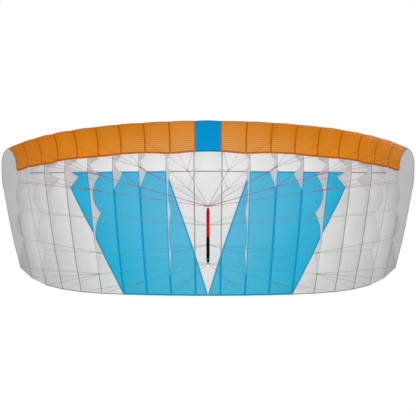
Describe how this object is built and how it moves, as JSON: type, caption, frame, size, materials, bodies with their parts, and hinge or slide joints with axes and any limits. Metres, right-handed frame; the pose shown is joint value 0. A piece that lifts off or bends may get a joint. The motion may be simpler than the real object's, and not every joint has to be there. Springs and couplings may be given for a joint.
{
  "type": "parawing with control bar",
  "caption": "Single-skin arched parawing with a closed cloth nose, flared ribs and a fan of lines that meet at a short hand-held control bar.",
  "frame": {"origin": "middle of the control bar's grip, on its axis", "axes": "+X along the span to the right as seen from the bar, +Y from the bar to the canopy, +Z along the bar from its rear to its front end, towards the leading edge"},
  "size_m": [2.8986, 1.7785, 1.2339],
  "materials": {
    "skin_white": "coated ripstop cloth, satin",
    "skin_blue": "coated ripstop cloth, satin",
    "nose_orange": "firm ripstop cloth, satin",
    "nose_blue": "firm ripstop cloth, satin",
    "rib_cloth": "thin ripstop cloth, satin",
    "line_red": "braided line, matt",
    "line_olive": "braided line, matt",
    "line_grey_green": "braided line, matt",
    "line_green": "braided line, matt",
    "grip_red": "moulded foam grip, matt",
    "grip_black": "moulded foam grip, matt"
  },
  "bodies": {
    "root": {"skin_c": "skin_white", "skin_l1": "skin_white", "skin_l2": "skin_blue", "skin_l3": "skin_blue", "skin_l4": "skin_blue", "skin_l5": "skin_white", "skin_l6": "skin_white", "skin_l7": "skin_white", "skin_l8": "skin_white", "skin_l9": "skin_white", "skin_r1": "skin_white", "skin_r2": "skin_blue", "skin_r3": "skin_blue", "skin_r4": "skin_blue", "skin_r5": "skin_white", "skin_r6": "skin_white", "skin_r7": "skin_white", "skin_r8": "skin_white", "skin_r9": "skin_white", "nose_c": "nose_blue", "nose_l": "nose_orange", "nose_r": "nose_orange", "rib_l1": "rib_cloth", "rib_l2": "rib_cloth", "rib_l3": "rib_cloth", "rib_l4": "rib_cloth", "rib_l5": "rib_cloth", "rib_l6": "rib_cloth", "rib_l7": "rib_cloth", "rib_l8": "rib_cloth", "rib_l9": "rib_cloth", "tip_rib_l": "rib_cloth", "rib_r1": "rib_cloth", "rib_r2": "rib_cloth", "rib_r3": "rib_cloth", "rib_r4": "rib_cloth", "rib_r5": "rib_cloth", "rib_r6": "rib_cloth", "rib_r7": "rib_cloth", "rib_r8": "rib_cloth", "rib_r9": "rib_cloth", "tip_rib_r": "rib_cloth", "front_lines": "line_red", "mid_lines": "line_olive", "aft_lines": "line_grey_green", "brake_lines": "line_green", "bar_front": "grip_red", "bar_rear": "grip_black"}
  },
  "joints": []
}
